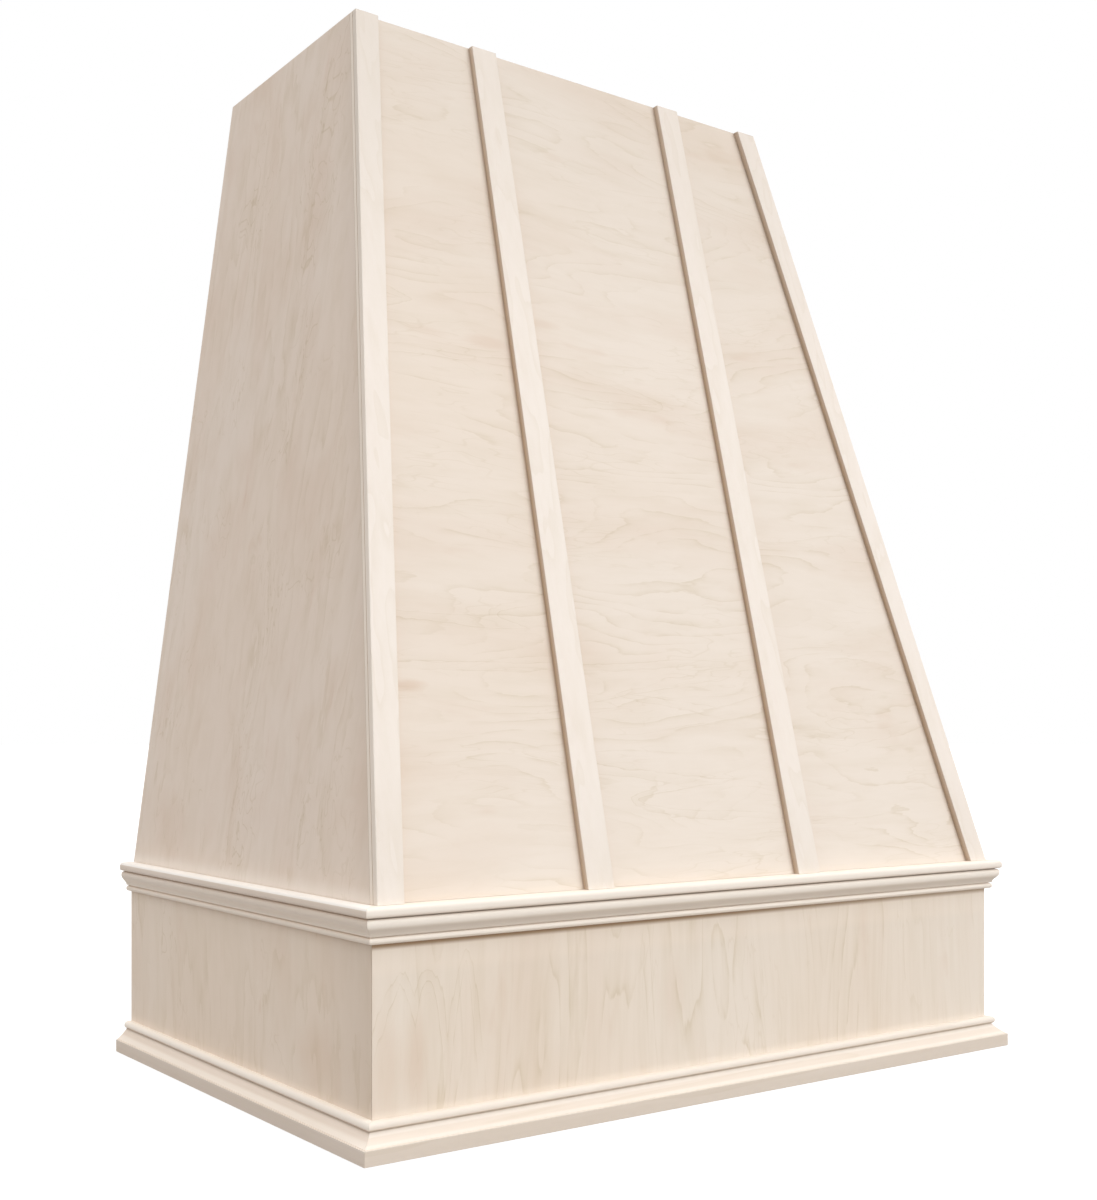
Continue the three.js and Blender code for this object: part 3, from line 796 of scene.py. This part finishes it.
# bands of painted light and shade as on the boards, but with heights above the moulding's own foot: painted
# shade in the quirks, the hollow, under the nose and bead and on the fascia, and painted highlights on the
# bead, ogee, shoulder, nose and slope
bandsOf = {
    "front_ledge_moulding": [
        (0.0072, 0.0076, 0.0012, 0.10, stain), (0.0250, 0.0256, 0.0012, 0.60, stain),
        (0.0085, 0.0135, 0.0030, 0.20, stain), (0.0034, 0.0056, 0.0016, 0.90, warmHighlight),
        (0.0180, 0.0225, 0.0030, 0.90, warmHighlight), (0.0300, 0.0346, 0.0030, 0.80, rgb(0.94, 0.86, 0.77)),
        (0.0352, 0.0400, 0.0004, 0.85, rgb(0.91, 0.83, 0.72))],
    "side_ledge_moulding": [
        (0.0072, 0.0076, 0.0012, 0.10, stain), (0.0085, 0.0150, 0.0040, 0.72, rgb(1.0, 0.87, 0.74)),
        (0.0016, 0.0056, 0.0016, 0.60, rgb(1.0, 0.88, 0.76)),
        (0.0335, 0.0400, 0.0008, 1.00, rgb(0.96, 0.90, 0.84)), (0.0262, 0.0328, 0.0006, 0.10, stain)],
    "front_base_moulding": [
        (0.0276, 0.0290, 0.0010, 0.45, stain), (0.0310, 0.0360, 0.0020, 0.35, paleHighlight),
        (0.0000, 0.0147, 0.0004, 0.155, stain), (0.0240, 0.0262, 0.0015, 0.40, paleHighlight),
        (0.0190, 0.0225, 0.0020, 0.05, stain), (0.0150, 0.0172, 0.0015, 0.40, paleHighlight)],
    "side_base_moulding": [
        (0.0270, 0.0277, 0.0014, 0.34, stain), (0.0310, 0.0360, 0.0020, 1.00, warmHighlight),
        (0.0150, 0.0185, 0.0030, 0.60, warmHighlight), (0.0000, 0.0147, 0.0004, 0.09, stain)]}
fitting = {"glueLine": 0.00019, "mitreGap": 0.0001, "sharp": math.radians(28), "seedStep": 5.3}


# where each moulding starts, the ways it runs and faces, its length at the apron and its two mitres
def mouldingRuns():
    glueLine, mitreGap = fitting["glueLine"], fitting["mitreGap"]
    half, frontY = apronHigh.x, apronLow.y
    return {
        "front": {"Start": (half + glueLine - mitreGap, frontY - glueLine, 0), "Along": (-1, 0, 0),
                  "Outward": (0, -1, 0), "Length": 2 * (half + glueLine - mitreGap), "Start Mitre": 1.0,
                  "End Mitre": 1.0},
        "left": {"Start": (-half - glueLine, frontY - glueLine + mitreGap, 0), "Along": (0, 1, 0),
                 "Outward": (-1, 0, 0), "Length": wallY - frontY + glueLine - mitreGap, "Start Mitre": 1.0,
                 "End Mitre": 0.0},
        "right": {"Start": (half + glueLine, wallY, 0), "Along": (0, -1, 0), "Outward": (1, 0, 0),
                  "Length": wallY - frontY + glueLine - mitreGap, "Start Mitre": 0.0, "End Mitre": 1.0},
    }


runs = mouldingRuns()


def addMoulding(kind, outline, side, seed):
    node = side + "_" + kind
    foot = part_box(node)[0].z
    bands = bandsOf[("front_" if side == "front" else "side_") + kind]
    placed = [(foot + low, foot + high, fade, amount, tint) for low, high, fade, amount, tint in bands]
    look = dict(mouldingWood if side == "front" else sideMouldingWood, seed=seed, bands=placed)
    wood = sawnWood(node.replace("_", " ") + " maple", "x" if side == "front" else "y", look)
    values = dict(runs[side], **{"Foot Height": foot, "Wood": wood})
    moulding = shapePiece(node + "_maple", mitredMoulding, values, outline)
    for polygon in moulding.data.polygons:
        polygon.use_smooth = True
    moulding.data.set_sharp_from_angle(angle=fitting["sharp"])
    standFor(moulding, node)


for index, side in enumerate(("front", "left", "right")):
    addMoulding("ledge_moulding", ledgeOutline(), side, ledge["seed"] + fitting["seedStep"] * index)
    addMoulding("base_moulding", baseOutline(), side, base["seed"] + fitting["seedStep"] * index)
print("mouldings swept")

white = rgb(1, 1, 1)
# each sun: name, where it comes from, strength, spread in degrees, colour
studio = {"floorReach": 60.0, "floorDrop": 0.0005, "floorLit": rgb(0.35, 0.347, 0.343),
          "floorSeen": rgb(0.45, 0.45, 0.45), "floorGlow": 0.72, "sky": 0.487, "sunAway": 4.0, "suns": [
              ("overhead", (0.1, -0.12, 1.0), 1.43, 70, (1.0, 1.0, 1.0)),
              ("front fill", (0.45, -1.0, 0.25), 1.52, 60, (1.0, 1.0, 1.0)),
              ("top left", (-0.8, 0.0, 1.0), 0.68, 60, (1.0, 1.0, 1.0))]}


# the floor looks nearly white to the camera, but throws less light back on the wood
def addFloor():
    floorMesh = bpy.data.meshes.new("floor")
    reach = studio["floorReach"]
    floorMesh.from_pydata([(-reach, -reach, 0), (reach, -reach, 0), (reach, reach, 0), (-reach, reach, 0)],
                          [], [(0, 1, 2, 3)])
    floor = bpy.data.objects.new("floor", floorMesh)
    floor.location.z = -studio["floorDrop"]
    bpy.context.scene.collection.objects.link(floor)
    finish = Finish("pale floor")
    lit = finish.add("ShaderNodeBsdfDiffuse", {}, {"Color": studio["floorLit"]})
    grey = finish.add("ShaderNodeBsdfDiffuse", {}, {"Color": studio["floorSeen"]})
    glow = finish.add("ShaderNodeEmission", {}, {"Color": white, "Strength": studio["floorGlow"]})
    seen = finish.add("ShaderNodeAddShader", {}, {0: grey, 1: glow})
    camera = finish.add("ShaderNodeLightPath", output="Is Camera Ray")
    glossy = finish.add("ShaderNodeLightPath", output="Is Glossy Ray")
    through = finish.add("ShaderNodeLightPath", output="Is Transmission Ray")
    looked = (camera + glossy + through).atMost(1.0)
    mixed = finish.add("ShaderNodeMixShader", {}, {0: looked, 1: lit, 2: seen})
    finish.add("ShaderNodeOutputMaterial", {}, {0: mixed})
    floorMesh.materials.append(finish.material)


# plain white to the camera, dimmer as a light
def addWorld():
    world = bpy.data.worlds.new("studio")
    world.use_nodes = True
    wiring = Wiring(world.node_tree)
    world.node_tree.nodes.clear()
    camera = wiring.add("ShaderNodeLightPath", output="Is Camera Ray")
    glossy = wiring.add("ShaderNodeLightPath", output="Is Glossy Ray")
    skyLight = wiring.add("ShaderNodeBackground", {}, {0: white, 1: studio["sky"]})
    backdrop = wiring.add("ShaderNodeBackground", {}, {0: white, 1: 1.0})
    mixed = wiring.add("ShaderNodeMixShader", {}, {0: camera.atLeast(glossy), 1: skyLight, 2: backdrop})
    wiring.add("ShaderNodeOutputWorld", {}, {0: mixed})
    bpy.context.scene.world = world


# a broad lamp that shines from one side, with its spread in degrees
def addSun(name, comesFrom, strength, spread, tint):
    data = bpy.data.lights.new(name, "SUN")
    data.energy = strength
    data.angle = math.radians(spread)
    data.color = tint
    lamp = bpy.data.objects.new(name, data)
    lamp.rotation_euler = Vector(comesFrom).to_track_quat("Z", "Y").to_euler()
    lamp.location = Vector(comesFrom).normalized() * studio["sunAway"]
    bpy.context.scene.collection.objects.link(lamp)


addFloor()
addWorld()
for sun in studio["suns"]:
    addSun(*sun)

# the photograph keeps upright lines upright, so the lens is shifted; all but the place, the yaw and the
# sensor are in the photograph's own pixels
photo = {"width": 1097, "height": 1200, "focal": 1472.32, "centreX": 450.0, "horizonY": 736.65,
         "place": (-1.16658, -1.45588, 0.39342), "yaw": 34.187, "sensor": 36.0}


def addCamera():
    data = bpy.data.cameras.new("camera")
    longSide = max(photo["width"], photo["height"])
    data.sensor_width = photo["sensor"]
    data.lens = photo["focal"] / longSide * photo["sensor"]
    data.shift_x = (photo["width"] / 2 - photo["centreX"]) / longSide
    data.shift_y = (photo["horizonY"] - photo["height"] / 2) / longSide
    camera = bpy.data.objects.new("camera", data)
    camera.location = photo["place"]
    camera.rotation_euler = (math.radians(90), 0, -math.radians(photo["yaw"]))
    bpy.context.scene.collection.objects.link(camera)
    bpy.context.scene.camera = camera


addCamera()
bpy.context.scene.view_settings.view_transform = "Standard"
print("stage set")
